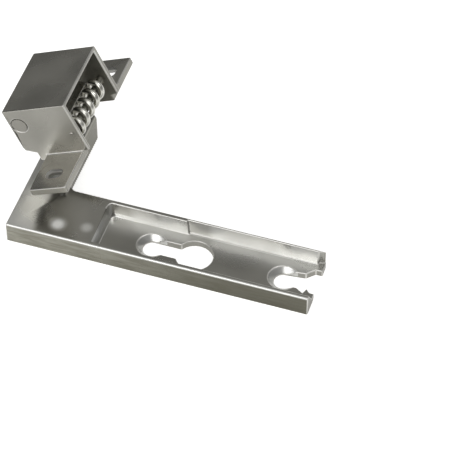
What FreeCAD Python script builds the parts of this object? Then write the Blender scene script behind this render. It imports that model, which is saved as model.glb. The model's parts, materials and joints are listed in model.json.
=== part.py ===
import FreeCAD, Part
import math
import os
import re
import Sketcher

# Fridge door hinge: a cast door plate with a gooseneck arm, and a spring-loaded cast housing.
# Lengths are in millimetres, angles in degrees, +Z is up.
# The origin is on the plate's underside, midway between the two door screws.

doc = FreeCAD.newDocument("FridgeDoorHinge")
sheet = doc.addObject("Spreadsheet::Sheet", "Sizes")

# Plate sizes count from the bar's left end, its front face and its underside.
plateSizes = {
    "bar_length": 125.0,
    "bar_width": 25.55,
    "bar_height": 9.5,
    "bar_edge_round": 0.8,
    "floor_thickness": 3.15,
    "pocket_start": 33.05,
    "pocket_end_lean": 3.3,
    "pocket_corner": 3.5,
    "front_wall_top": 1.8,
    "front_wall_foot": 6.0,
    "back_wall_top": 1.76,
    "back_wall_lean": 0.9,
    "back_step": 68.0,
    "back_step_depth": 0.86,
    "run_out": 2.0,
    "hollow_wall": 2.8,
    "hollow_roof": 3.0,
    "screw_line": 13.03,
    "keyhole_at": 56.76,
    "notch_at": 111.18,
    "screw_hole_radius": 3.68,
    "screw_seat_radius": 6.06,
    "keyhole_neck": 7.3,
    "entry_at": 74.49,
    "entry_radius": 7.45,
    "leg_width": 17.6,
    "leg_thickness": 2.75,
    "leg_corner_round": 3.0,
    "rib_thickness": 2.5,
    "rib_start": 21.5,
    "rib_ramp": 2.0,
    "shelf_thickness": 3.0,
    "shelf_round": 3.0,
}

# The open notch at the bar's end, each corner as distances from the notch screw.
notchSizes = {
    "hump_out": 6.32,
    "hump_aside": 3.33,
    "vee_out": 9.32,
    "vee_aside": 5.13,
    "tooth_out": 10.22,
    "tooth_aside": 2.63,
    "tooth_end_out": 12.02,
    "tooth_end_aside": 4.33,
    "far_flare_out": 3.22,
    "far_flare_aside": 3.97,
    "far_corner_out": 8.02,
    "far_corner_aside": 4.47,
    "far_cut": 3.1,
    "wall_end_cut": 2.9,
}

pivotSizes = {
    "pivot_at": -4.1,
    "pivot_height": 34.66,
    "rest_angle": 24.5,
    "bridge_drop": 0.5,
    "neck_turn": 45.0,
    "swing_gap": 0.3,
    "spring_swing_gap": 0.75,
    "closed_spring_gap": 1.0,
    "closed_flange_gap": 0.5,
    "pin_radius": 1.7,
    "pin_running_gap": 0.05,
    "pin_seat_gap": 0.02,
    "pin_head_radius": 3.2,
    "pin_head_thickness": 0.9,
    "pin_head_groove": 0.2,
    "pin_rivet_radius": 2.5,
    "pin_rivet_height": 0.7,
    "pin_rivet_bevel": 0.35,
    "washer_thickness": 0.8,
    "washer_gap": 0.05,
    "washer_bore_gap": 0.1,
    "arm_far_gap": 4.32,
}

# Housing sizes count from the pivot's axis and from the near wall's outer face.
housingSizes = {
    "housing_front": 30.06,
    "housing_width": 35.56,
    "housing_depth": 29.64,
    "side_wall": 3.0,
    "back_wall": 1.4,
    "web_thickness": 3.0,
    "pin_from_back": 4.75,
    "pin_from_web": 7.73,
    "back_corner_round": 2.6,
    "web_edge_round": 0.7,
    "back_height": 19.6,
    "slant_run": 5.3,
    "slant_drop": 3.3,
    "flange_drop": 24.05,
    "flange_thickness": 3.0,
    "flange_start": 9.46,
    "flange_end": 26.74,
    "flange_reach": 20.56,
    "flange_corner_round": 1.0,
    "slot_at": 17.9,
    "slot_out": 12.0,
    "slot_length": 9.2,
    "slot_width": 5.6,
}

springSizes = {
    "spring_forward": 22.65,
    "spring_drop": 7.77,
    "spring_outer_radius": 4.9,
    "wire_radius": 1.2,
    "wire_sides": 12,
    "spring_turns": 5.0,
    "spring_inset": 5.64,
    "upper_leg_lean": 15.0,
    "lower_leg_length": 5.5,
    "web_touch_gap": 0.1,
    "spring_pin_radius": 2.2,
    "spring_pin_end_radius": 1.2,
    "spring_pin_proud": 0.5,
    "spring_pin_side_gap": 0.1,
}

sizeNames = []
for group in (plateSizes, notchSizes, pivotSizes, housingSizes, springSizes):
    for name, size in group.items():
        sizeNames.append(name)
        cell = f"B{len(sizeNames)}"
        sheet.set(f"A{len(sizeNames)}", name.replace("_", " "))
        sheet.set(cell, str(size))
        sheet.setAlias(cell, name)
doc.recompute()


# Places that more than one piece uses, as expressions on the sheet.
originAt = "(keyhole_at + notch_at) / 2"
eyeStart = "(housing_front + side_wall + washer_thickness + 2 * washer_gap)"
armEnd = "(housing_front + housing_width - side_wall - arm_far_gap)"
eyeLength = "(housing_width - 2 * side_wall - 2 * washer_thickness - 4 * washer_gap)"
legUnder = "bar_height - leg_thickness"
webTop = "pin_from_web"
flangeUnder = "pin_from_web - flange_drop - flange_thickness"
openEdge = "housing_depth - pin_from_back"
# The arm keeps clear of what turns round it: the back wall's lip, the spring and the flange.
eyeRadius = "(pin_from_back - back_wall - swing_gap)"
lipDrop = "(back_height + slant_drop * back_wall / slant_run - pin_from_web)"
neckInner = f"(sqrt((pin_from_back - back_wall) ^ 2 + {lipDrop} ^ 2) + swing_gap)"
neckOuter = "(sqrt(spring_forward ^ 2 + spring_drop ^ 2) - spring_outer_radius - spring_swing_gap)"
shelfTop = "(pivot_height - spring_drop - spring_outer_radius - closed_spring_gap)"
ribTop = f"(pivot_height + {flangeUnder} - closed_flange_gap)"


def bound(text):
    """The expression, with each size led by the name of the sheet."""
    def lead(word):
        return "Sizes." + word[0] if word[0] in sizeNames else word[0]
    return re.sub(r"[a-z_]+", lead, text)


def value(text):
    """What an expression comes to, as a number."""
    return float(sheet.evalExpression(bound(text)))


def plane(body, role):
    for feature in body.Origin.OriginFeatures:
        if feature.Role == role:
            return feature
    raise ValueError(role)


def newBody(name, place):
    """A body placed by three expressions, named after its node."""
    body = doc.addObject("PartDesign::Body", name)
    body.Label = name
    for axis, text in zip("xyz", place):
        body.setExpression("Placement.Base." + axis, bound(text))
    return body


def newSketch(body, name, role, shift=("0", "0", "0")):
    """A sketch on one of the body's own planes, shifted in that plane's own directions."""
    sketch = body.newObject("Sketcher::SketchObject", name)
    sketch.AttachmentSupport = [(plane(body, role), "")]
    sketch.MapMode = "FlatFace"
    for axis, text in zip("xyz", shift):
        sketch.setExpression("AttachmentOffset.Base." + axis, bound(text))
    return sketch


def pin(sketch, geometry, spot, across, up):
    """Holds a point of the sketch at two bound distances from the sketch's origin."""
    for kind, text in (("DistanceX", across), ("DistanceY", up)):
        index = sketch.addConstraint(Sketcher.Constraint(kind, -1, 1, geometry, spot, value(text)))
        sketch.setExpression(f"Constraints[{index}]", bound(text))


def arcBetween(start, end, radius):
    """The short arc from start to end; a positive radius turns left on the way."""
    middle = (start + end) / 2
    chord = end - start
    aside = math.sqrt(max(radius ** 2 - (chord.Length / 2) ** 2, 0.0))
    left = FreeCAD.Vector(-chord.y, chord.x, 0).normalize()
    centre = middle + left * math.copysign(aside, radius)
    first, last = (start, end) if radius > 0 else (end, start)
    angles = [math.atan2(spot.y - centre.y, spot.x - centre.x) for spot in (first, last)]
    circle = Part.Circle(centre, FreeCAD.Vector(0, 0, 1), abs(radius))
    return Part.ArcOfCircle(circle, angles[0], angles[1])


def outline(sketch, corners):
    """A closed outline. A corner is (across, up), with a radius where an arc leads to it."""
    spots = [FreeCAD.Vector(value(corner[0]), value(corner[1]), 0) for corner in corners]
    ends = []
    for index, corner in enumerate(corners):
        start = spots[index - 1]
        end = spots[index]
        if len(corner) == 2:
            geometry = sketch.addGeometry(Part.LineSegment(start, end), False)
            ends.append((geometry, 1, 2))
            continue
        radius = value(corner[2])
        geometry = sketch.addGeometry(arcBetween(start, end, radius), False)
        ends.append((geometry, 1, 2) if radius > 0 else (geometry, 2, 1))
        held = sketch.addConstraint(Sketcher.Constraint("Radius", geometry, abs(radius)))
        sketch.setExpression(f"Constraints[{held}]", bound(f"abs({corner[2]})"))
    for index, corner in enumerate(corners):
        arriving = ends[index]
        leaving = ends[(index + 1) % len(corners)]
        joint = Sketcher.Constraint("Coincident", arriving[0], arriving[2], leaving[0], leaving[1])
        sketch.addConstraint(joint)
        pin(sketch, arriving[0], arriving[2], corner[0], corner[1])
    return sketch


def ring(sketch, across, up, radius):
    """A circle held by its centre and radius."""
    centre = FreeCAD.Vector(value(across), value(up), 0)
    circle = Part.Circle(centre, FreeCAD.Vector(0, 0, 1), value(radius))
    geometry = sketch.addGeometry(circle, False)
    held = sketch.addConstraint(Sketcher.Constraint("Radius", geometry, value(radius)))
    sketch.setExpression(f"Constraints[{held}]", bound(radius))
    pin(sketch, geometry, 3, across, up)
    return sketch


def box(sketch, left, low, right, high):
    return outline(sketch, [(left, low), (right, low), (right, high), (left, high)])


def extrude(body, kind, sketch, length, turned=False):
    """A Pad or a Pocket of one sketch. It must add or take away material."""
    before = body.Shape.Volume if body.Tip else 0.0
    feature = body.newObject("PartDesign::" + kind, sketch.Name + kind)
    feature.Profile = sketch
    feature.setExpression("Length", bound(length))
    feature.Reversed = turned
    doc.recompute()
    change = body.Shape.Volume - before
    if change * (1 if kind == "Pad" else -1) <= 0:
        raise ValueError(f"{feature.Name} changes nothing")
    return feature


def roundEdges(body, name, radius, test):
    """Rounds the edges of the body whose middle and direction pass the test."""
    base = body.Tip
    chosen = []
    for number, edge in enumerate(base.Shape.Edges, start=1):
        centre = edge.valueAt((edge.FirstParameter + edge.LastParameter) / 2)
        along = edge.tangentAt((edge.FirstParameter + edge.LastParameter) / 2)
        if test(centre, along):
            chosen.append(f"Edge{number}")
    if not chosen:
        raise ValueError(f"{name} finds no edge")
    fillet = body.newObject("PartDesign::Fillet", name)
    fillet.Base = (base, chosen)
    fillet.setExpression("Radius", bound(radius))
    doc.recompute()
    return fillet


def near(one, other, reach=0.05):
    return abs(one - other) < reach


# Door plate: bar, leg, rib, gooseneck and eye are one casting.
plate = newBody("door_plate", ("-" + originAt, "-screw_line", "0"))

bar = box(newSketch(plate, "Bar", "XY_Plane"), "0", "0", "bar_length", "bar_width")
extrude(plate, "Pad", bar, "bar_height")

leg = newSketch(plate, "Leg", "XY_Plane", ("0", "0", legUnder))
box(leg, "0", "bar_width", "leg_width", armEnd)
extrude(plate, "Pad", leg, "leg_thickness")

legWidth = value("leg_width")
barWidth = value("bar_width")
barHeight = value("bar_height")
roundEdges(plate, "LegCorner", "leg_corner_round",
           lambda spot, along: near(spot.x, legWidth) and near(spot.y, barWidth) and abs(along.z) > 0.9)

rib = newSketch(plate, "Rib", "YZ_Plane", ("0", "0", "leg_width - rib_thickness"))
outline(rib, [
    ("rib_start", "bar_height"),
    (eyeStart, "bar_height"),
    (eyeStart, ribTop),
    ("rib_start + rib_ramp", ribTop),
])
extrude(plate, "Pad", rib, "rib_thickness")

neckBack = f"pivot_at + {neckInner} * cos(neck_turn)"
shelfUnder = shelfTop + " - shelf_thickness"
gooseneck = newSketch(plate, "Gooseneck", "XZ_Plane", ("0", "0", "-" + eyeStart))
outline(gooseneck, [
    ("pivot_at", "pivot_height - bridge_drop"),
    (f"pivot_at + sqrt({neckInner} ^ 2 - bridge_drop ^ 2)", "pivot_height - bridge_drop"),
    (neckBack, f"pivot_height - {neckInner} * sin(neck_turn)", "-" + neckInner),
    (neckBack, shelfUnder + " + shelf_round"),
    (neckBack + " + shelf_round", shelfUnder, "shelf_round"),
    ("leg_width - rib_thickness", shelfUnder),
    ("leg_width - rib_thickness", legUnder),
    ("leg_width", legUnder),
    ("leg_width", shelfTop + " - shelf_round"),
    ("leg_width - shelf_round", shelfTop, "shelf_round"),
    (f"pivot_at + sqrt({neckOuter} ^ 2 - (pivot_height - {shelfTop}) ^ 2)", shelfTop),
    (f"pivot_at + sqrt({neckOuter} ^ 2 - {eyeRadius} ^ 2)", f"pivot_height + {eyeRadius}", neckOuter),
    ("pivot_at", f"pivot_height + {eyeRadius}"),
])
extrude(plate, "Pad", gooseneck, f"{armEnd} - {eyeStart}", True)

eye = newSketch(plate, "Eye", "XZ_Plane", ("0", "0", "-" + eyeStart))
ring(eye, "pivot_at", "pivot_height", eyeRadius)
extrude(plate, "Pad", eye, eyeLength, True)

bore = newSketch(plate, "EyeBore", "XZ_Plane", ("0", "0", "-" + eyeStart))
ring(bore, "pivot_at", "pivot_height", "pin_radius + pin_running_gap")
extrude(plate, "Pocket", bore, eyeLength)

# The left end is cast hollow from below.
hollow = box(newSketch(plate, "Hollow", "XY_Plane"),
             "hollow_wall", "hollow_wall", "pocket_start - hollow_wall", "bar_width - hollow_wall")
extrude(plate, "Pocket", hollow, "bar_height - hollow_roof", True)


def loftCut(body, name, top, foot):
    """A pocket whose walls lean from the outline at the rim to the outline on the floor."""
    rim = outline(newSketch(body, name + "Rim", "XY_Plane", ("0", "0", "bar_height")), top)
    floor = outline(newSketch(body, name + "Floor", "XY_Plane", ("0", "0", "floor_thickness")), foot)
    before = body.Shape.Volume
    cut = body.newObject("PartDesign::SubtractiveLoft", name)
    cut.Profile = rim
    cut.Sections = [floor]
    cut.Ruled = True
    doc.recompute()
    if body.Shape.Volume >= before:
        raise ValueError(f"{name} cuts nothing")


def corners(left, low, right, high):
    return [(left, low), (right, low), (right, high), (left, high)]


pastEnd = "bar_length + run_out"
backTop = "bar_width - back_wall_top"
loftCut(plate, "ScrewPocket",
        corners("pocket_start", "front_wall_top", pastEnd, backTop),
        corners("pocket_start + pocket_end_lean", "front_wall_foot", pastEnd, backTop + " - back_wall_lean"))
loftCut(plate, "BackStep",
        corners("back_step", "screw_line", pastEnd, backTop + " + back_step_depth"),
        corners("back_step + back_wall_lean", "screw_line", pastEnd,
                backTop + " + back_step_depth - back_wall_lean"))

pocketCorner = FreeCAD.Vector(value("pocket_start + pocket_end_lean / 2"),
                              value(backTop + " - back_wall_lean / 2"),
                              value("(bar_height + floor_thickness) / 2"))
roundEdges(plate, "PocketCorner", "pocket_corner",
           lambda spot, along: spot.distanceToPoint(pocketCorner) < value("back_wall_top"))


# Screw openings through the pocket's floor.
def floorHole(name, across, radius):
    sketch = ring(newSketch(plate, name, "XY_Plane"), across, "screw_line", radius)
    extrude(plate, "Pocket", sketch, "floor_thickness", True)


floorHole("KeyholeSmall", "keyhole_at", "screw_hole_radius")
floorHole("KeyholeEntry", "entry_at", "entry_radius")
keyholeNeck = box(newSketch(plate, "KeyholeNeck", "XY_Plane"),
                  "keyhole_at", "screw_line - keyhole_neck / 2", "entry_at", "screw_line + keyhole_neck / 2")
extrude(plate, "Pocket", keyholeNeck, "floor_thickness", True)
floorHole("NotchHole", "notch_at", "screw_hole_radius")

notch = newSketch(plate, "EndNotch", "XY_Plane", ("notch_at", "screw_line", "0"))
outline(notch, [
    ("0", "screw_hole_radius"),
    ("0", "-screw_hole_radius"),
    ("hump_out", "-hump_aside"),
    ("vee_out", "-vee_aside"),
    ("tooth_out", "-tooth_aside"),
    ("tooth_end_out", "-tooth_end_aside"),
    (f"{pastEnd} - notch_at", "-tooth_end_aside"),
    (f"{pastEnd} - notch_at", "far_corner_aside + far_cut"),
    ("far_corner_out + far_cut", "far_corner_aside + far_cut"),
    ("far_corner_out", "far_corner_aside"),
    ("far_flare_out", "far_flare_aside"),
])
extrude(plate, "Pocket", notch, "floor_thickness", True)

# The back wall's end is cut at an angle on its inner side.
wallEnd = newSketch(plate, "WallEnd", "XY_Plane", ("0", "0", "floor_thickness"))
outline(wallEnd, [
    ("bar_length - wall_end_cut", "bar_width - wall_end_cut"),
    (pastEnd, "bar_width - wall_end_cut"),
    (pastEnd, "bar_width + run_out / 2"),
    ("bar_length", "bar_width"),
    ("bar_length - wall_end_cut", f"{backTop} + back_step_depth"),
])
extrude(plate, "Pocket", wallEnd, "bar_height", True)


def screwSeat(name, across):
    """A conical seat for a countersunk screw, sunk into the pocket's floor."""
    sketch = newSketch(plate, name, "XZ_Plane", (across, "0", "-screw_line"))
    coneFoot = "floor_thickness + screw_hole_radius - screw_seat_radius"
    outline(sketch, [
        ("0", coneFoot),
        ("screw_hole_radius", coneFoot),
        ("screw_seat_radius", "floor_thickness"),
        ("0", "floor_thickness"),
    ])
    before = plate.Shape.Volume
    seat = plate.newObject("PartDesign::Groove", name + "Groove")
    seat.Profile = sketch
    seat.ReferenceAxis = (sketch, ["V_Axis"])
    seat.Angle = 360
    doc.recompute()
    if plate.Shape.Volume >= before:
        raise ValueError(f"{name} cuts nothing")


screwSeat("KeyholeSeat", "keyhole_at")
screwSeat("NotchSeat", "notch_at")

roundEdges(plate, "RimRound", "bar_edge_round",
           lambda spot, along: near(spot.z, barHeight) and near(spot.y, 0) and abs(along.x) > 0.9)


# Housing: web, back wall, side walls and flanges are one casting.
housingPlace = (f"pivot_at - {originAt}", "housing_front - screw_line", "pivot_height")


def turnedBody(name, forward="0", across="0", up="0"):
    """A body on the housing, given in the housing's own directions and opened to the rest angle."""
    spot = (
        f"{housingPlace[0]} + ({forward}) * cos(rest_angle) - ({up}) * sin(rest_angle)",
        f"{housingPlace[1]} + {across}",
        f"{housingPlace[2]} + ({forward}) * sin(rest_angle) + ({up}) * cos(rest_angle)",
    )
    body = newBody(name, spot)
    body.Placement.Rotation = FreeCAD.Rotation(FreeCAD.Vector(0, -1, 0), 1.0)
    body.setExpression("Placement.Rotation.Angle", bound("rest_angle"))
    return body


housing = turnedBody("housing")
side = newSketch(housing, "SideShape", "XZ_Plane")
outline(side, [
    ("-pin_from_back", webTop),
    ("-pin_from_back", f"{webTop} - back_height"),
    ("slant_run - pin_from_back", f"{webTop} - back_height - slant_drop"),
    ("slant_run - pin_from_back", flangeUnder),
    ("flange_end - pin_from_back", flangeUnder),
    ("flange_end - pin_from_back", f"{flangeUnder} + flange_thickness"),
    (openEdge, f"{flangeUnder} + flange_thickness"),
    (openEdge, webTop),
])
extrude(housing, "Pad", side, "housing_width", True)

inside = newSketch(housing, "Inside", "XZ_Plane", ("0", "0", "-side_wall"))
box(inside, "back_wall - pin_from_back", f"{flangeUnder} - run_out",
    f"{openEdge} + run_out", f"{webTop} - web_thickness")
extrude(housing, "Pocket", inside, "housing_width - 2 * side_wall", False)

backFace = value("-pin_from_back")
housingWidth = value("housing_width")
topFace = value(webTop)
roundEdges(housing, "BackCorners", "back_corner_round",
           lambda spot, along: near(spot.x, backFace) and abs(along.z) > 0.9
           and (near(spot.y, 0) or near(spot.y, housingWidth)))
roundEdges(housing, "WebEdges", "web_edge_round",
           lambda spot, along: near(spot.z, topFace) and spot.x < value(openEdge) - 1.0)

for name, wallFace, outer in (("Near", "0", "-flange_reach"),
                              ("Far", "housing_width", "housing_width + flange_reach")):
    flange = newSketch(housing, name + "Flange", "XY_Plane", ("0", "0", flangeUnder))
    low, high = (outer, wallFace) if name == "Near" else (wallFace, outer)
    box(flange, "flange_start - pin_from_back", low, "flange_end - pin_from_back", high)
    extrude(housing, "Pad", flange, "flange_thickness")
    outerFace = value(outer)
    roundEdges(housing, name + "FlangeCorners", "flange_corner_round",
               lambda spot, along: near(spot.y, outerFace) and abs(along.z) > 0.9)
    middle = "-slot_out" if name == "Near" else "housing_width + slot_out"
    slot = newSketch(housing, name + "Slot", "XY_Plane", ("slot_at - pin_from_back", middle, flangeUnder))
    straight = "(slot_length - slot_width) / 2"
    outline(slot, [
        (straight, "-slot_width / 2"),
        ("slot_length / 2", "0", "slot_width / 2"),
        (straight, "slot_width / 2", "slot_width / 2"),
        ("-" + straight, "slot_width / 2"),
        ("-slot_length / 2", "0", "slot_width / 2"),
        ("-" + straight, "-slot_width / 2", "slot_width / 2"),
    ])
    extrude(housing, "Pocket", slot, "flange_thickness", True)

pinHoles = newSketch(housing, "PinHoles", "XZ_Plane")
ring(pinHoles, "0", "0", "pin_radius + pin_seat_gap")
ring(pinHoles, "spring_forward", "-spring_drop", "spring_pin_end_radius + pin_seat_gap")
extrude(housing, "Pocket", pinHoles, "housing_width")

headSink = ring(newSketch(housing, "HeadSink", "XZ_Plane"), "0", "0", "pin_head_radius + pin_head_groove")
extrude(housing, "Pocket", headSink, "pin_head_thickness")


def turning(body, name, profile):
    """A turned piece: a half outline of (radius, along) revolved about the piece's own Y axis."""
    sketch = outline(newSketch(body, name, "XY_Plane"), profile)
    turned = body.newObject("PartDesign::Revolution", name + "Turned")
    turned.Profile = sketch
    turned.ReferenceAxis = (sketch, ["V_Axis"])
    turned.Angle = 360
    doc.recompute()


# Pivot pin: a flat head flush with the near wall, and a riveted far end.
pivotPin = turnedBody("pivot_pin")
turning(pivotPin, "PivotPinProfile", [
    ("0", "0"),
    ("pin_head_radius", "0"),
    ("pin_head_radius", "pin_head_thickness - pin_seat_gap"),
    ("pin_radius", "pin_head_thickness - pin_seat_gap"),
    ("pin_radius", "housing_width + pin_seat_gap"),
    ("pin_rivet_radius", "housing_width + pin_seat_gap"),
    ("pin_rivet_radius - pin_rivet_bevel", "housing_width + pin_rivet_height"),
    ("0", "housing_width + pin_rivet_height"),
])

# Thrust washers, one at each end of the eye.
farWasher = "housing_width - side_wall - washer_gap - washer_thickness"
for name, start in (("near_washer", "side_wall + washer_gap"), ("far_washer", farWasher)):
    washer = turnedBody(name, "0", start, "0")
    face = newSketch(washer, name.replace("_", "") + "Face", "XZ_Plane")
    ring(face, "0", "0", eyeRadius)
    ring(face, "0", "0", "pin_radius + washer_bore_gap")
    extrude(washer, "Pad", face, "washer_thickness", True)

# Spring pin: a thick middle inside the coil and thin ends through the walls.
springPin = turnedBody("spring_pin", "spring_forward", "0", "-spring_drop")
bumpRound = "spring_pin_proud"
turning(springPin, "SpringPinProfile", [
    ("0", "-spring_pin_proud"),
    (f"spring_pin_end_radius - {bumpRound}", "-spring_pin_proud"),
    ("spring_pin_end_radius", "0", bumpRound),
    ("spring_pin_end_radius", "side_wall + spring_pin_side_gap"),
    ("spring_pin_radius", "side_wall + spring_pin_side_gap"),
    ("spring_pin_radius", "housing_width - side_wall - spring_pin_side_gap"),
    ("spring_pin_end_radius", "housing_width - side_wall - spring_pin_side_gap"),
    ("spring_pin_end_radius", "housing_width"),
    (f"spring_pin_end_radius - {bumpRound}", "housing_width + spring_pin_proud", bumpRound),
    ("0", "housing_width + spring_pin_proud"),
])


# Torsion spring: a coil swept along a helix, with one straight leg at each end.
def makeSpring():
    """The spring in the housing's own directions, with its axis on the origin's Y axis."""
    wire = value("wire_radius")
    coil = value("spring_outer_radius - wire_radius")
    towardPivot = 180.0 - math.degrees(math.atan2(value("spring_drop"), value("spring_forward")))
    firstAngle = 180.0 - value("upper_leg_lean")
    turns = value("spring_turns") + (towardPivot - firstAngle) / 360.0
    length = value("housing_width - 2 * spring_inset")
    path = Part.makeHelix(length / turns, length, coil, 0, True)
    first = path.Edges[0]
    start = first.valueAt(first.FirstParameter)
    along = first.tangentAt(first.FirstParameter)
    aside = along.cross(FreeCAD.Vector(1, 0, 0))
    sides = int(value("wire_sides"))
    turn = [2 * math.pi * side / sides for side in range(sides + 1)]
    corners = [start + FreeCAD.Vector(wire * math.cos(angle), 0, 0) + aside * (wire * math.sin(angle))
               for angle in turn]
    section = Part.makePolygon(corners)
    body = Part.Wire(path.Edges).makePipeShell([section], True, True)
    # The helix grows along Z; it is laid along Y, and turned to where the first leg leaves.
    body.rotate(FreeCAD.Vector(), FreeCAD.Vector(1, 0, 0), -90)
    body.rotate(FreeCAD.Vector(), FreeCAD.Vector(0, -1, 0), firstAngle)

    def onCoil(angle, along):
        turn = math.radians(angle)
        return FreeCAD.Vector(coil * math.cos(turn), along, coil * math.sin(turn))

    def leg(start, direction, reach):
        bar = Part.makeCylinder(wire, reach, start, direction)
        return bar.fuse(Part.makeSphere(wire, start))

    upperStart = onCoil(firstAngle, 0.0)
    lean = math.radians(value("upper_leg_lean"))
    upward = FreeCAD.Vector(math.sin(lean), 0, math.cos(lean))
    ceiling = value("pin_from_web - web_thickness + spring_drop - web_touch_gap")
    upperReach = (ceiling - wire * math.sin(lean) - upperStart.z) / upward.z
    lowerStart = onCoil(towardPivot, length)
    turn = math.radians(towardPivot)
    downward = FreeCAD.Vector(-math.sin(turn), 0, math.cos(turn))
    legs = [leg(upperStart, upward, upperReach), leg(lowerStart, downward, value("lower_leg_length"))]
    return body.fuse(legs).removeSplitter()


spring = doc.addObject("Part::Feature", "torsion_spring")
spring.Label = "torsion_spring"
spring.Shape = makeSpring()
springRest = FreeCAD.Rotation(FreeCAD.Vector(0, -1, 0), value("rest_angle"))
springBase = FreeCAD.Vector(*[value(text) for text in housingPlace])
springSpot = FreeCAD.Vector(value("spring_forward"), value("spring_inset"), value("-spring_drop"))
spring.Placement = FreeCAD.Placement(springBase + springRest.multVec(springSpot), springRest)

doc.recompute()

nodes = [plate, housing, pivotPin, springPin, spring]
nodes += [doc.getObject(name) for name in ("near_washer", "far_washer")]

for item in doc.Objects:
    if "Invalid" in item.State or "Error" in item.State:
        raise ValueError(f"{item.Name} failed: {item.State}")

os.makedirs("parts", exist_ok=True)
for node in nodes:
    shape = node.Shape
    if shape.isNull() or not shape.isValid() or not shape.Solids:
        raise ValueError(f"{node.Label} has no valid solid")
    shape.exportStep(f"parts/{node.Label}.step")
    size = shape.BoundBox
    print(f"{node.Label}: {len(shape.Solids)} solid, {shape.Volume:.1f} mm3,",
          f"{size.XLength:.2f} x {size.YLength:.2f} x {size.ZLength:.2f} mm")
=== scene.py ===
import json
import math
import bmesh
import bpy
from mathutils import Matrix, Vector


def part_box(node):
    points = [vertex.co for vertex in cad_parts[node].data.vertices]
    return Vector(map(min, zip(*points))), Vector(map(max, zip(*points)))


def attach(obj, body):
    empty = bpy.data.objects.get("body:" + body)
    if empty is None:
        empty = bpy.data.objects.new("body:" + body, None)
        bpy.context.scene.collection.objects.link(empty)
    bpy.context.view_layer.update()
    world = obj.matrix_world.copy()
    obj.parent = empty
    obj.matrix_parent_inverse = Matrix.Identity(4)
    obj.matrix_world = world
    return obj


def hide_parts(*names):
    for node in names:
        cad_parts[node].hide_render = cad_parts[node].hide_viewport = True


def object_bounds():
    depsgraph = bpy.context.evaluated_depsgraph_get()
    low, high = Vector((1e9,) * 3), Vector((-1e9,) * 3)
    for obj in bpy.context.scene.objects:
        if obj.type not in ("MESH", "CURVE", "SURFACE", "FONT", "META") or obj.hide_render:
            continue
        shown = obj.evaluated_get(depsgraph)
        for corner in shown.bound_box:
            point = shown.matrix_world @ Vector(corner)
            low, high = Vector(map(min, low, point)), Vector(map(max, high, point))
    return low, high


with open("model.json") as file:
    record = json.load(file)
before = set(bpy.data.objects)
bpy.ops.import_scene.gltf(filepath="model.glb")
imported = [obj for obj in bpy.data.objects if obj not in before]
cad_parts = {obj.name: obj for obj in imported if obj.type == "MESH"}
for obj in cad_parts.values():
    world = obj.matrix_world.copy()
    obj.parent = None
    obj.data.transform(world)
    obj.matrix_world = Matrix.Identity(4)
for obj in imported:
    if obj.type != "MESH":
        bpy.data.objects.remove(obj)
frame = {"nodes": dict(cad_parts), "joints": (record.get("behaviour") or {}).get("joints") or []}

cadLow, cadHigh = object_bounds()
mm = 0.001
scene = bpy.context.scene
scene.view_settings.view_transform = "Standard"
print("frame loaded:", ", ".join(sorted(frame["nodes"])))


# Camera: solved from the outlines of the photograph, which is 470 pixels wide and high
photoCamera = {
    "lens": 184.52,
    "sensor": 36.0,
    "clip": (0.05, 10.0),
    "place": (196.07, -590.23, 719.33),
    "right": (0.9514, 0.3080, 0.0031),
    "down": (0.2323, -0.7109, -0.6638),
}


def makeCamera(values):
    data = bpy.data.cameras.new("photoCamera")
    data.lens = values["lens"]
    data.sensor_width = values["sensor"]
    data.sensor_fit = "HORIZONTAL"
    data.clip_start, data.clip_end = values["clip"]
    camera = bpy.data.objects.new("photoCamera", data)
    scene.collection.objects.link(camera)
    right = Vector(values["right"]).normalized()
    up = -Vector(values["down"])
    up = (up - right * up.dot(right)).normalized()
    back = right.cross(up)
    turn = Matrix((right, up, back)).transposed().to_4x4()
    camera.matrix_world = Matrix.Translation(Vector(values["place"]) * mm) @ turn
    scene.camera = camera


makeCamera(photoCamera)
print("camera placed")


# Node helpers
def newMaterial(name):
    material = bpy.data.materials.new(name)
    material.use_nodes = True
    return material, material.node_tree


def addNode(tree, kind, **values):
    node = tree.nodes.new(kind)
    for key, value in values.items():
        setattr(node, key, value)
    return node


def noiseField(tree, coordinates, scale, detail=2.0, roughness=0.5):
    noise = addNode(tree, "ShaderNodeTexNoise")
    noise.inputs["Scale"].default_value = scale
    noise.inputs["Detail"].default_value = detail
    noise.inputs["Roughness"].default_value = roughness
    tree.links.new(coordinates, noise.inputs["Vector"])
    return noise.outputs["Fac"]


def ramp(tree, source, low, high, fromLow=0.3, fromHigh=0.7):
    stretch = addNode(tree, "ShaderNodeMapRange", interpolation_type="SMOOTHSTEP")
    stretch.inputs["From Min"].default_value = fromLow
    stretch.inputs["From Max"].default_value = fromHigh
    stretch.inputs["To Min"].default_value = low
    stretch.inputs["To Max"].default_value = high
    tree.links.new(source, stretch.inputs["Value"])
    return stretch.outputs["Result"]


def combine(tree, operation, first, second):
    step = addNode(tree, "ShaderNodeMath", operation=operation)
    for socket, source in zip(step.inputs, (first, second)):
        if isinstance(source, (int, float)):
            socket.default_value = source
        else:
            tree.links.new(source, socket)
    return step.outputs[0]


def mixColours(tree, factor, first, second):
    blend = addNode(tree, "ShaderNodeMix", data_type="RGBA")
    tree.links.new(factor, blend.inputs[0])
    for socket, colour in zip((blend.inputs[6], blend.inputs[7]), (first, second)):
        if isinstance(colour, tuple):
            socket.default_value = (*colour, 1.0)
        else:
            tree.links.new(colour, socket)
    return blend.outputs[2]


def axisParts(tree, coordinates):
    split = addNode(tree, "ShaderNodeSeparateXYZ")
    tree.links.new(coordinates, split.inputs[0])
    return {"x": split.outputs["X"], "y": split.outputs["Y"], "z": split.outputs["Z"]}


def fade(tree, source, start, end):
    # nothing before the start, all of it past the end, in millimetres
    return ramp(tree, source, 0.0, 1.0, start * mm, end * mm)


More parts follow.
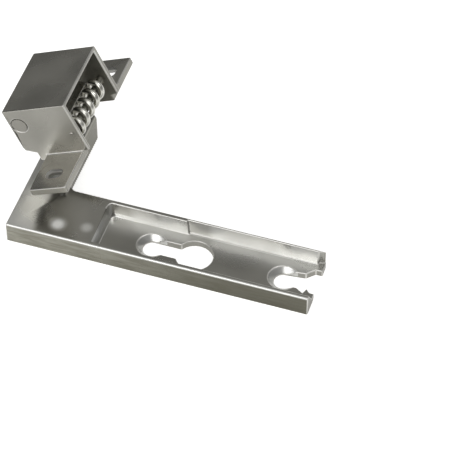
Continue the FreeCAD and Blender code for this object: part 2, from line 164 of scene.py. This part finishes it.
def nearness(tree, coordinates, place, outside, inside):
    away = addNode(tree, "ShaderNodeVectorMath", operation="DISTANCE")
    tree.links.new(coordinates, away.inputs[0])
    away.inputs[1].default_value = [part * mm for part in place]
    return fade(tree, away.outputs["Value"], outside, inside)


def zoneShare(tree, parts, share, limits):
    # the share, wherever every limit is met
    total = share
    for axis, start, end in limits:
        total = combine(tree, "MULTIPLY", fade(tree, parts[axis], start, end), total)
    return total


def addBump(tree, height, strength, distance):
    bump = addNode(tree, "ShaderNodeBump")
    bump.inputs["Strength"].default_value = strength
    bump.inputs["Distance"].default_value = distance * mm
    tree.links.new(height, bump.inputs["Height"])
    return bump


# Plated castings: warm nickel over zinc, smooth, with soft clouds and a faint orange peel
castingFinish = {
    "light": (0.44, 0.43, 0.395),
    "dark": (0.36, 0.352, 0.322),
    "cloudScale": 45.0,
    "smearScale": 60.0,
    "roughLow": 0.24,
    "roughHigh": 0.36,
    "waveScale": 70.0,
    "waveStrength": 0.12,
    "waveHeight": 1.0,
    "peelScale": 700.0,
    "peelStrength": 0.05,
    "peelHeight": 0.05,
}
# pale metal for the rounded edges and the slot walls: a painted edge highlight
edgeHighlightFinish = dict(castingFinish, light=(0.86, 0.85, 0.82), dark=(0.6, 0.59, 0.56),
                  roughLow=0.3, roughHigh=0.42)
# darker, duller metal for the hollow's inside, the flange ends and the rod inside the coil: painted shade
paintedShadeFinish = dict(castingFinish, light=(0.4, 0.39, 0.345), dark=(0.27, 0.263, 0.23),
                    roughLow=0.4, roughHigh=0.55)
springFinish = dict(castingFinish, light=(0.96, 0.95, 0.89), dark=(0.86, 0.85, 0.79),
                    roughLow=0.24, roughHigh=0.3, waveStrength=0.0, coat=0.8, coatRough=0.12)
pinFinish = dict(castingFinish, light=(0.42, 0.41, 0.38), dark=(0.34, 0.33, 0.3), waveStrength=0.05)


def platedMetal(name, finish):
    material, tree = newMaterial(name)
    shader = tree.nodes["Principled BSDF"]
    shader.inputs["Metallic"].default_value = 1.0
    if "coat" in finish:
        shader.inputs["Coat Weight"].default_value = finish["coat"]
        shader.inputs["Coat Roughness"].default_value = finish["coatRough"]
    coordinates = addNode(tree, "ShaderNodeTexCoord").outputs["Object"]
    clouds = noiseField(tree, coordinates, finish["cloudScale"], roughness=0.4)
    colour = mixColours(tree, ramp(tree, clouds, 0.0, 1.0), finish["dark"], finish["light"])
    smears = noiseField(tree, coordinates, finish["smearScale"], detail=1.0, roughness=0.4)
    rough = ramp(tree, smears, finish["roughLow"], finish["roughHigh"])
    wave = noiseField(tree, coordinates, finish["waveScale"], detail=1.0)
    peel = noiseField(tree, coordinates, finish["peelScale"])
    waveBump = addBump(tree, wave, finish["waveStrength"], finish["waveHeight"])
    peelBump = addBump(tree, peel, finish["peelStrength"], finish["peelHeight"])
    tree.links.new(waveBump.outputs["Normal"], peelBump.inputs["Normal"])
    tree.links.new(peelBump.outputs["Normal"], shader.inputs["Normal"])
    tree.links.new(rough, shader.inputs["Roughness"])
    tree.links.new(colour, shader.inputs["Base Color"])
    return material, tree, coordinates, colour, rough


# Where the plate gets painted highlights, painted reflections and painted shade: a share, then its limits
# in the frame's own millimetres
pastStart = (("x", -50.0, -47.0),)
pocketFloor = (("z", 4.3, 3.9), ("z", 2.7, 2.95), ("y", -1.5, 8.5))
pocketWall = (("z", 9.4, 8.9), ("y", 9.5, 9.9), ("y", 12.4, 12.1))
wallFoot = (("y", 9.6, 9.9), ("y", 10.5, 10.3), ("x", 38.6, 37.8), ("z", 5.2, 4.6))
plateZones = {
    "paintedLight": (0.8, 0.8, 0.78),
    "paintedLightZones": (
        # painted highlights on the top's left end, the pocket's end wall and the front rim
        (1.0, (("z", 8.6, 8.9), ("x", -70.6, -74.0))),
        (1.0, (("x", -47.1, -47.5), ("x", -49.6, -49.2), ("z", 9.1, 8.6))),
        (1.0, (("y", -12.08, -12.33), ("z", 8.75, 8.9))),
        # painted reflections on the pocket's floor, then on its back wall with two bright stretches, and
        # a painted highlight line at its foot
        (0.55, pocketFloor + pastStart),
        (0.315, pocketWall + pastStart),
        (0.9, pocketWall + pastStart + (("x", -44.0, -36.0), ("x", -12.0, -18.0))),
        (0.9, pocketWall + pastStart + (("x", -11.0, -3.0), ("x", 38.6, 37.8))),
        (1.0, wallFoot + pastStart),
    ),
    "seats": ((-27.21, 0.0, 1.5), (27.21, 0.0, 1.5)),
    "seatReach": (6.5, 6.2),
    "seatHeight": (("z", 0.75, 0.95),),
    # two shallow marks on the top, each with a soft painted highlight and rougher metal
    "markGlints": (((-64.3, -6.4, 9.5), 5.0, 1.0), ((-52.8, -4.6, 9.5), 3.6, 0.6)),
    "markGlintCore": 0.2,
    "markGlintColour": (1.0, 1.0, 0.98),
    "markRough": 0.8,
    # the arm's side face, painted darker: painted shade
    "armSide": (("x", -66.7, -66.5), ("y", 12.6, 12.9)),
    "armPaintedShade": (0.33, 0.32, 0.28),
    # the bar's front face: painted shade, darkening from left to right, with darker drawn streaks
    "front": (("y", -12.78, -12.98), ("z", 9.1, 8.6)),
    "frontRun": (-84.0, 20.0),
    "frontShadeLeft": (0.45, 0.44, 0.385),
    "frontShadeRight": (0.2, 0.195, 0.16),
    "streakDark": (0.15, 0.14, 0.105),
    "streakShare": 0.5,
    "streakStretch": (0.12, 1.0, 1.0),
    "streakScale": 900.0,
}


def shadedStreakedFront(tree, parts, coordinates, zones):
    # painted shade on the front face, lighter at the left end and darker at the right, then darker
    # streaks of grain
    run = fade(tree, parts["x"], *zones["frontRun"])
    front = mixColours(tree, run, zones["frontShadeLeft"], zones["frontShadeRight"])
    stretch = addNode(tree, "ShaderNodeMapping")
    stretch.inputs["Scale"].default_value = zones["streakStretch"]
    tree.links.new(coordinates, stretch.inputs["Vector"])
    grain = noiseField(tree, stretch.outputs[0], zones["streakScale"], detail=3.0, roughness=0.6)
    return mixColours(tree, ramp(tree, grain, 0.0, zones["streakShare"]), front, zones["streakDark"])


def plateMetal(name, finish, zones):
    material, tree, coordinates, colour, rough = platedMetal(name, finish)
    shader = tree.nodes["Principled BSDF"]
    parts = axisParts(tree, coordinates)
    paintedLight = 0.0
    for share, limits in zones["paintedLightZones"]:
        paintedLight = combine(tree, "MAXIMUM", zoneShare(tree, parts, share, limits), paintedLight)
    # painted highlights in the countersunk screw seats
    for place in zones["seats"]:
        inSeat = nearness(tree, coordinates, place, *zones["seatReach"])
        paintedLight = combine(tree, "MAXIMUM", zoneShare(tree, parts, inSeat, zones["seatHeight"]), paintedLight)
    colour = mixColours(tree, paintedLight, colour, zones["paintedLight"])
    # painted highlights at the marks, with rougher metal there
    for place, radius, share in zones["markGlints"]:
        spot = nearness(tree, coordinates, place, radius, radius * zones["markGlintCore"])
        markGlint = combine(tree, "MULTIPLY", spot, share)
        colour = mixColours(tree, markGlint, colour, zones["markGlintColour"])
        rough = combine(tree, "MAXIMUM", rough, combine(tree, "MULTIPLY", markGlint, zones["markRough"]))
    # painted shade on the arm's side face
    colour = mixColours(tree, zoneShare(tree, parts, 1.0, zones["armSide"]), colour, zones["armPaintedShade"])
    # the front face takes its painted shade and streaks
    front = shadedStreakedFront(tree, parts, coordinates, zones)
    colour = mixColours(tree, zoneShare(tree, parts, 1.0, zones["front"]), colour, front)
    tree.links.new(rough, shader.inputs["Roughness"])
    tree.links.new(colour, shader.inputs["Base Color"])
    return material


plateCasting = plateMetal("plateCasting", castingFinish, plateZones)
housingCasting = platedMetal("housingCasting", castingFinish)[0]
paintedEdgeHighlight = platedMetal("paintedEdgeHighlight", edgeHighlightFinish)[0]
paintedShadeCasting = platedMetal("paintedShadeCasting", paintedShadeFinish)[0]
springSteel = platedMetal("springSteel", springFinish)[0]
pinSteel = platedMetal("pinSteel", pinFinish)[0]
print("metals ready")


# Places on the housing: forward, across and up from the pivot at the near wall's outer face
restAngle = 24.5
hinge = frame["joints"][0]
hingePlace = Vector((hinge["pos_m"][0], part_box("pivot_pin")[0].y, hinge["pos_m"][2]))
restTurn = Matrix.Rotation(math.radians(-restAngle), 3, "Y")


def housingPoint(forward, across, up):
    return hingePlace + restTurn @ Vector((forward, across, up)) * mm


def inHousing(spot):
    return restTurn.inverted() @ (spot - hingePlace) / mm


# Castings: copies of the solids with every edge rounded, as a plated casting has
def mergedCopy(nodeName, pieceName):
    shape = bmesh.new()
    shape.from_mesh(frame["nodes"][nodeName].data)
    bmesh.ops.remove_doubles(shape, verts=shape.verts, dist=0.002 * mm)
    bmesh.ops.dissolve_limit(shape, angle_limit=math.radians(0.4), verts=shape.verts, edges=shape.edges)
    mesh = bpy.data.meshes.new(pieceName)
    shape.to_mesh(mesh)
    shape.free()
    piece = bpy.data.objects.new(pieceName, mesh)
    scene.collection.objects.link(piece)
    return piece


def bakeModifiers(piece):
    graph = bpy.context.evaluated_depsgraph_get()
    finished = piece.evaluated_get(graph)
    mesh = bpy.data.meshes.new_from_object(finished, preserve_all_data_layers=True, depsgraph=graph)
    piece.modifiers.clear()
    piece.data = mesh


def markEdges(mesh, edges):
    # every edge sharper than the limit gets rounded, save those next to a kept spot
    shape = bmesh.new()
    shape.from_mesh(mesh)
    weight = shape.edges.layers.float.new("bevel_weight_edge")
    sharpest = math.radians(edges["sharpest"])
    for edge in shape.edges:
        middle = (edge.verts[0].co + edge.verts[1].co) / (2 * mm)
        kept = any((middle - Vector(spot)).length < reach for spot, reach in edges["kept"])
        if len(edge.link_faces) == 2 and not kept and edge.calc_face_angle() > sharpest:
            edge[weight] = 1.0
    shape.to_mesh(mesh)
    shape.free()


def roundedCasting(piece, edges, metals):
    mesh = piece.data
    for metal in metals:
        mesh.materials.append(metal)
    for face in mesh.polygons:
        face.material_index = 0
    markEdges(mesh, edges)
    mesh.shade_smooth()
    bevel = piece.modifiers.new("roundEdges", "BEVEL")
    bevel.width = edges["bevel"] * mm
    bevel.segments = edges["steps"]
    bevel.limit_method = "WEIGHT"
    bevel.use_clamp_overlap = False
    # the rounded edges take the second metal, whose pale colour is a painted edge highlight
    bevel.material = 1
    flatten = piece.modifiers.new("keepFlatFaces", "WEIGHTED_NORMAL")
    flatten.mode = "FACE_AREA"
    flatten.weight = 90
    bakeModifiers(piece)


# Door plate
plateEdges = {
    "bevel": 0.4, "steps": 3, "sharpest": 30.0,
    "kept": (((-67.6, 9.5, 11.0), 3.2), ((-48.92, -1.89, 9.5), 1.5)),
    "floor": 3.15, "top": 9.5,
    "startFoot": -47.62, "startLean": 3.3, "startShift": 2.0,
    "startAcross": (-11.4, 11.5), "startSlack": (0.2, 0.1),
    "backFoot": 9.9, "backLean": 0.9,
    "pocketRound": 3.5, "footSlack": 1.2,
    "touch": 0.01,
}


def steepenPocket(mesh, edges):
    # the pocket's end wall stands steeper and its corner is tighter at the foot than in the solid
    reach = edges["pocketRound"]
    touch = edges["touch"]
    before, after = edges["startSlack"]
    front, back = edges["startAcross"]
    for vertex in mesh.vertices:
        x, y, z = vertex.co / mm
        rise = (z - edges["floor"]) / (edges["top"] - edges["floor"])
        wall = edges["startFoot"] - edges["startLean"] * rise
        onEndWall = -touch < rise < 1.0 + touch and wall - before < x < wall + reach + after
        if not (onEndWall and front < y < back):
            continue
        centre = (wall + reach, edges["backFoot"] + edges["backLean"] * rise - reach)
        if y > centre[1]:
            slack = edges["footSlack"] * (1.0 - rise)
            x = centre[0] - slack + min(x - centre[0], 0.0) * (reach - slack) / reach
            y = centre[1] + slack + (y - centre[1]) * (reach - slack) / reach
        share = min(max((wall + reach - x) / reach, 0.0), 1.0)
        vertex.co.x = (x + edges["startShift"] * rise * share) * mm
        vertex.co.y = y * mm


def makePlate():
    plate = mergedCopy("door_plate", "plateBody")
    steepenPocket(plate.data, plateEdges)
    roundedCasting(plate, plateEdges, (plateCasting, paintedEdgeHighlight))
    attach(plate, "plate")
    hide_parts("door_plate")


makePlate()
print("plate rounded")


# Housing. The coil's place comes first, since the rod's hole in the walls follows it
springWire = {
    "forward": 21.2,
    "drop": 7.3,
    "coilRadius": 3.1,
    "wireRadius": 1.2,
    "wireSides": 20,
    "firstAngle": 165.0,
    "totalTurn": 1796.0,
    "firstStrand": 4.35,
    "closedRise": 0.8,
    "closedTurn": 240.0,
    "closedEase": 4.5,
    "pitch": 5.4,
    "angleStep": 10.0,
    "ceiling": 5.8,
    "lowerLeg": 5.5,
    "pathStep": 0.35,
    "smoothBelow": 50.0,
}
housingEdges = {
    "bevel": 0.5, "steps": 3, "sharpest": 30.0,
    "kept": (((-68.71, 5.03, 23.9), 5.5), ((-68.71, 64.59, 23.9), 5.5), ((-64.24, 17.03, 36.98), 3.2),
             ((-64.24, 52.59, 36.98), 3.2)),
    "width": 35.56,
    "ceiling": 4.73, "webDraft": 1.6,
    "nearInside": 3.0, "nearDraft": 1.3,
    "farInside": 32.56, "farDraft": 0.8,
    "back": -4.75, "backRound": 2.6, "tightRound": 0.9, "roundBand": 0.75,
    "rodHole": (22.65, -7.77), "rodHoleReach": 1.35,
    "slots": (((13.15, -12.0), (0.87, 0.92)), ((13.15, 47.56), (1.08, 1.15))), "slotReach": 5.2,
    "slotSideways": 0.3,
    "headSink": 3.6, "sinkDepth": 0.85,
    "flangeTop": (-20.0, -15.0), "flangeEnd": -19.9, "endFacing": -0.9,
    "room": ((-4.3, 23.9), (0.9, 34.6), (-30.0, 7.0)),
    "mouthTouch": 0.05, "touch": 0.01,
}


def draftMouth(mesh, edges):
    # the cast walls thin towards the mouth, which leaves the narrow rim that the photo shows
    spots = [inHousing(vertex.co) for vertex in mesh.vertices]
    mouth = max(spot.x for spot in spots)
    touch = edges["mouthTouch"]
    for vertex, spot in zip(mesh.vertices, spots):
        if abs(spot.x - mouth) > touch:
            continue
        if abs(spot.z - edges["ceiling"]) < touch:
            spot.z += edges["webDraft"]
        if abs(spot.y - edges["nearInside"]) < touch:
            spot.y -= edges["nearDraft"]
        if abs(spot.y - edges["farInside"]) < touch:
            spot.y += edges["farDraft"]
        vertex.co = housingPoint(*spot)


def moveRodHole(spot, edges, wire):
    forward, up = edges["rodHole"]
    if math.hypot(spot.x - forward, spot.z - up) < edges["rodHoleReach"]:
        spot.x += wire["forward"] - forward
        spot.z += -wire["drop"] - up


def resizeSlots(spot, edges):
    low, high = edges["flangeTop"]
    for place, share in edges["slots"]:
        inSlot = math.hypot(spot.x - place[0], spot.y - place[1]) < edges["slotReach"]
        if inSlot and low < spot.z < high:
            spot.x = place[0] + (spot.x - place[0]) * share[0]
            spot.y = place[1] + (spot.y - place[1]) * share[1]


def tightenBackCorners(spot, edges):
    radius = edges["backRound"]
    touch = edges["touch"]
    slack = radius - edges["tightRound"]
    centre = (edges["back"] + radius, radius)
    for nearSide in (True, False):
        across = spot.y if nearSide else edges["width"] - spot.y
        offset = (spot.x - centre[0], across - centre[1])
        reach = math.hypot(*offset)
        inCorner = offset[0] < touch and -touch - radius < offset[1] < touch
        if inCorner and reach >= radius - edges["roundBand"]:
            share = (reach - slack) / reach
            spot.x = centre[0] - slack + offset[0] * share
            across = centre[1] - slack + offset[1] * share
            spot.y = across if nearSide else edges["width"] - across


def reshapeHousing(mesh, edges, wire):
    for vertex in mesh.vertices:
        spot = inHousing(vertex.co)
        moveRodHole(spot, edges, wire)
        resizeSlots(spot, edges)
        if math.hypot(spot.x, spot.z) < edges["headSink"] and spot.y < edges["sinkDepth"]:
            spot.y = 0.0
        else:
            tightenBackCorners(spot, edges)
        vertex.co = housingPoint(*spot)


def paintShadeAndSlotHighlights(mesh, edges):
    # painted shade on the hollow's own faces and on the flange's end faces, told from the outer ones by
    # where they lie, and a painted highlight on the slot walls
    for face in mesh.polygons:
        spot = inHousing(face.center)
        normal = restTurn.inverted() @ face.normal
        inRoom = all(low < part < high for part, (low, high) in zip(spot, edges["room"]))
        onFlangeEnd = spot.y < edges["flangeEnd"] and normal.y < edges["endFacing"]
        if inRoom or onFlangeEnd:
            face.material_index = 2
        for place, share in edges["slots"]:
            inSlot = math.hypot(spot.x - place[0], spot.y - place[1]) < edges["slotReach"]
            if inSlot and abs(normal.z) < edges["slotSideways"]:
                face.material_index = 1


def makeHousing():
    housing = mergedCopy("housing", "housingBody")
    draftMouth(housing.data, housingEdges)
    reshapeHousing(housing.data, housingEdges, springWire)
    roundedCasting(housing, housingEdges, (housingCasting, paintedEdgeHighlight, paintedShadeCasting))
    paintShadeAndSlotHighlights(housing.data, housingEdges)
    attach(housing, "housing")
    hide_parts("housing")


makeHousing()
print("housing rounded")


# Torsion spring: one wire swept along its path by Geometry Nodes
def springPath(wire):
    radius = wire["coilRadius"]

    def onCoil(turned):
        angle = math.radians(wire["firstAngle"] + turned)
        if turned < wire["closedTurn"]:
            rise = wire["closedRise"] * (turned / wire["closedTurn"]) ** wire["closedEase"]
        else:
            rise = wire["closedRise"] + wire["pitch"] * (turned - wire["closedTurn"]) / 360.0
        return (wire["forward"] + radius * math.cos(angle), wire["firstStrand"] + rise,
                radius * math.sin(angle) - wire["drop"])

    steps = int(wire["totalTurn"] / wire["angleStep"])
    coil = [onCoil(wire["totalTurn"] * step / steps) for step in range(steps + 1)]
    lean = math.radians(180.0 - wire["firstAngle"])
    reach = (wire["ceiling"] - wire["wireRadius"] * math.sin(lean) - coil[0][2]) / math.cos(lean)
    top = (coil[0][0] + reach * math.sin(lean), coil[0][1], coil[0][2] + reach * math.cos(lean))
    last = math.radians(wire["firstAngle"] + wire["totalTurn"])
    foot = (coil[-1][0] - wire["lowerLeg"] * math.sin(last), coil[-1][1],
            coil[-1][2] + wire["lowerLeg"] * math.cos(last))
    return [housingPoint(*spot) for spot in (top, *coil, foot)]


def wireTree(material):
    tree = bpy.data.node_groups.new("sweepWire", "GeometryNodeTree")
    tree.interface.new_socket("Path", in_out="INPUT", socket_type="NodeSocketGeometry")
    for label, kind in (("Wire Radius", "NodeSocketFloat"), ("Wire Sides", "NodeSocketInt"),
                        ("Path Step", "NodeSocketFloat")):
        tree.interface.new_socket(label, in_out="INPUT", socket_type=kind)
    tree.interface.new_socket("Wire", in_out="OUTPUT", socket_type="NodeSocketGeometry")
    links = tree.links
    given = addNode(tree, "NodeGroupInput")
    path = addNode(tree, "GeometryNodeMeshToCurve")
    links.new(given.outputs["Path"], path.inputs["Mesh"])
    even = addNode(tree, "GeometryNodeResampleCurve", mode="LENGTH")
    links.new(path.outputs["Curve"], even.inputs["Curve"])
    links.new(given.outputs["Path Step"], even.inputs["Length"])
    section = addNode(tree, "GeometryNodeCurvePrimitiveCircle")
    links.new(given.outputs["Wire Sides"], section.inputs["Resolution"])
    links.new(given.outputs["Wire Radius"], section.inputs["Radius"])
    sweep = addNode(tree, "GeometryNodeCurveToMesh")
    sweep.inputs["Fill Caps"].default_value = True
    links.new(even.outputs["Curve"], sweep.inputs["Curve"])
    links.new(section.outputs["Curve"], sweep.inputs["Profile Curve"])
    whole = addNode(tree, "GeometryNodeRealizeInstances")
    links.new(sweep.outputs["Mesh"], whole.inputs["Geometry"])
    painted = addNode(tree, "GeometryNodeSetMaterial")
    painted.inputs["Material"].default_value = material
    links.new(whole.outputs["Geometry"], painted.inputs["Geometry"])
    links.new(painted.outputs["Geometry"], addNode(tree, "NodeGroupOutput").inputs["Wire"])
    return tree


def setInputs(modifier, values):
    for item in modifier.node_group.interface.items_tree:
        if item.in_out == "INPUT" and item.name in values:
            modifier[item.identifier] = values[item.name]


def makeSpring(wire):
    spots = springPath(wire)
    mesh = bpy.data.meshes.new("springCoil")
    mesh.from_pydata(spots, [(index, index + 1) for index in range(len(spots) - 1)], [])
    spring = bpy.data.objects.new("springCoil", mesh)
    scene.collection.objects.link(spring)
    sweep = spring.modifiers.new("sweepWire", "NODES")
    sweep.node_group = wireTree(springSteel)
    setInputs(sweep, {"Wire Radius": wire["wireRadius"] * mm, "Wire Sides": wire["wireSides"],
                      "Path Step": wire["pathStep"] * mm})
    bakeModifiers(spring)
    spring.data.shade_smooth()
    spring.data.set_sharp_from_angle(angle=math.radians(wire["smoothBelow"]))
    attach(spring, "housing")
    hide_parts("torsion_spring")


makeSpring(springWire)
print("spring wound")


# Pins: the rod is turned on the coil's axis, the pivot and the washers keep their solids
springRod = {
    "radius": 1.6,
    "endRadius": 1.2,
    "proud": 0.4,
    "bevel": 0.3,
    "wall": 3.1,
    "sides": 40,
    "smoothBelow": 35.0,
}


def turnedPiece(name, forward, up, profile, rod):
    shape = bmesh.new()
    angles = [2 * math.pi * side / rod["sides"] for side in range(rod["sides"])]
    rings = []
    for radius, across in profile:
        rings.append([shape.verts.new(housingPoint(forward + radius * math.cos(angle), across,
                                                   up + radius * math.sin(angle))) for angle in angles])
    for ring, following in zip(rings, rings[1:]):
        for side in range(rod["sides"]):
            after = (side + 1) % rod["sides"]
            shape.faces.new((ring[side], ring[after], following[after], following[side]))
    shape.faces.new(rings[0])
    shape.faces.new(rings[-1])
    bmesh.ops.recalc_face_normals(shape, faces=shape.faces)
    mesh = bpy.data.meshes.new(name)
    shape.to_mesh(mesh)
    shape.free()
    piece = bpy.data.objects.new(name, mesh)
    scene.collection.objects.link(piece)
    mesh.shade_smooth()
    mesh.set_sharp_from_angle(angle=math.radians(rod["smoothBelow"]))
    return piece


def makeSpringRod(rod, wire, width):
    end = rod["endRadius"]
    profile = [
        (end - rod["bevel"], -rod["proud"]), (end, rod["bevel"] - rod["proud"]),
        (end, rod["wall"]), (rod["radius"], rod["wall"]),
        (rod["radius"], width - rod["wall"]), (end, width - rod["wall"]),
        (end, width + rod["proud"] - rod["bevel"]), (end - rod["bevel"], width + rod["proud"]),
    ]
    piece = turnedPiece("springRod", wire["forward"], -wire["drop"], profile, rod)
    piece.data.materials.append(pinSteel)
    piece.data.materials.append(paintedShadeCasting)
    # the rod's middle, inside the coil, takes the darker metal: painted shade
    for face in piece.data.polygons:
        if rod["wall"] < inHousing(face.center).y < width - rod["wall"]:
            face.material_index = 1
    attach(piece, "housing")
    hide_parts("spring_pin")


makeSpringRod(springRod, springWire, housingEdges["width"])
for nodeName in ("pivot_pin", "near_washer", "far_washer"):
    node = frame["nodes"][nodeName]
    node.data.materials.clear()
    node.data.materials.append(pinSteel)
print("pins turned")


# Stage: a white floor that keeps a soft shadow, and a surround that metal shows too
stageLook = {
    "floorSize": 6.0,
    "floorGap": 0.02,
    "floorGlow": 0.62,
    "mirrorShare": 0.1,
    "floorColour": (0.9, 0.9, 0.88),
    "worldSteps": ((0.0, 0.7), (0.16, 0.24), (0.34, 0.12), (0.75, 0.3), (1.0, 0.5)),
    "worldWarmth": 0.97,
    "worldLight": (0.55, 0.55, 0.55),
    "worldSeen": (1.0, 1.0, 1.0),
}


def mirrorRays(tree, path):
    # what metal mirrors, and what clear bodies would let through
    return combine(tree, "MAXIMUM", path.outputs["Is Glossy Ray"], path.outputs["Is Transmission Ray"])


def makeFloor(look):
    mesh = bpy.data.meshes.new("studioFloor")
    half = look["floorSize"] / 2
    height = cadLow.z - look["floorGap"] * mm
    corners = [(-half, -half, height), (half, -half, height), (half, half, height), (-half, half, height)]
    mesh.from_pydata(corners, [], [(0, 1, 2, 3)])
    floor = bpy.data.objects.new("studioFloor", mesh)
    scene.collection.objects.link(floor)
    material, tree = newMaterial("paleFloor")
    tree.nodes.remove(tree.nodes["Principled BSDF"])
    diffuse = addNode(tree, "ShaderNodeBsdfDiffuse")
    diffuse.inputs["Color"].default_value = (*look["floorColour"], 1.0)
    glow = addNode(tree, "ShaderNodeEmission")
    path = addNode(tree, "ShaderNodeLightPath")
    mirrored = combine(tree, "MULTIPLY", mirrorRays(tree, path), look["mirrorShare"])
    seen = combine(tree, "MAXIMUM", path.outputs["Is Camera Ray"], mirrored)
    tree.links.new(combine(tree, "MULTIPLY", seen, look["floorGlow"]), glow.inputs["Strength"])
    total = addNode(tree, "ShaderNodeAddShader")
    tree.links.new(diffuse.outputs[0], total.inputs[0])
    tree.links.new(glow.outputs[0], total.inputs[1])
    tree.links.new(total.outputs[0], tree.nodes["Material Output"].inputs["Surface"])
    mesh.materials.append(material)


def makeWorld(look):
    world = bpy.data.worlds.new("studioWorld")
    scene.world = world
    world.use_nodes = True
    tree = world.node_tree
    direction = addNode(tree, "ShaderNodeTexCoord").outputs["Generated"]
    steps = addNode(tree, "ShaderNodeValToRGB")
    steps.color_ramp.interpolation = "EASE"
    elements = steps.color_ramp.elements
    while len(elements) < len(look["worldSteps"]):
        elements.new(0.5)
    for element, (place, level) in zip(elements, look["worldSteps"]):
        element.position = place
        element.color = (level, level, level * look["worldWarmth"], 1.0)
    tree.links.new(axisParts(tree, direction)["z"], steps.inputs[0])
    path = addNode(tree, "ShaderNodeLightPath")
    mirrored = mixColours(tree, mirrorRays(tree, path), look["worldLight"], steps.outputs[0])
    seen = mixColours(tree, path.outputs["Is Camera Ray"], mirrored, look["worldSeen"])
    tree.links.new(seen, tree.nodes["Background"].inputs["Color"])


makeFloor(stageLook)
makeWorld(stageLook)

lampAim = (-0.03, 0.02, 0.02)
lamps = {
    "keyBox": {"place": (-0.25, -0.85, 0.72), "size": (0.9, 0.8), "power": 4.4},
    "topBox": {"place": (0.5, 0.1, 1.4), "size": (0.7, 0.7), "power": 2.6},
    "sideBox": {"place": (-0.95, -0.83, 0.48), "size": (0.6, 0.45), "power": 1.6},
}


def makeLamp(name, values):
    data = bpy.data.lights.new(name, "AREA")
    data.shape = "RECTANGLE"
    data.size, data.size_y = values["size"]
    data.energy = values["power"]
    lamp = bpy.data.objects.new(name, data)
    scene.collection.objects.link(lamp)
    lamp.location = values["place"]
    lamp.rotation_euler = (Vector(lampAim) - lamp.location).to_track_quat("-Z", "Y").to_euler()


for lampName, lampValues in lamps.items():
    makeLamp(lampName, lampValues)
print("stage lit")
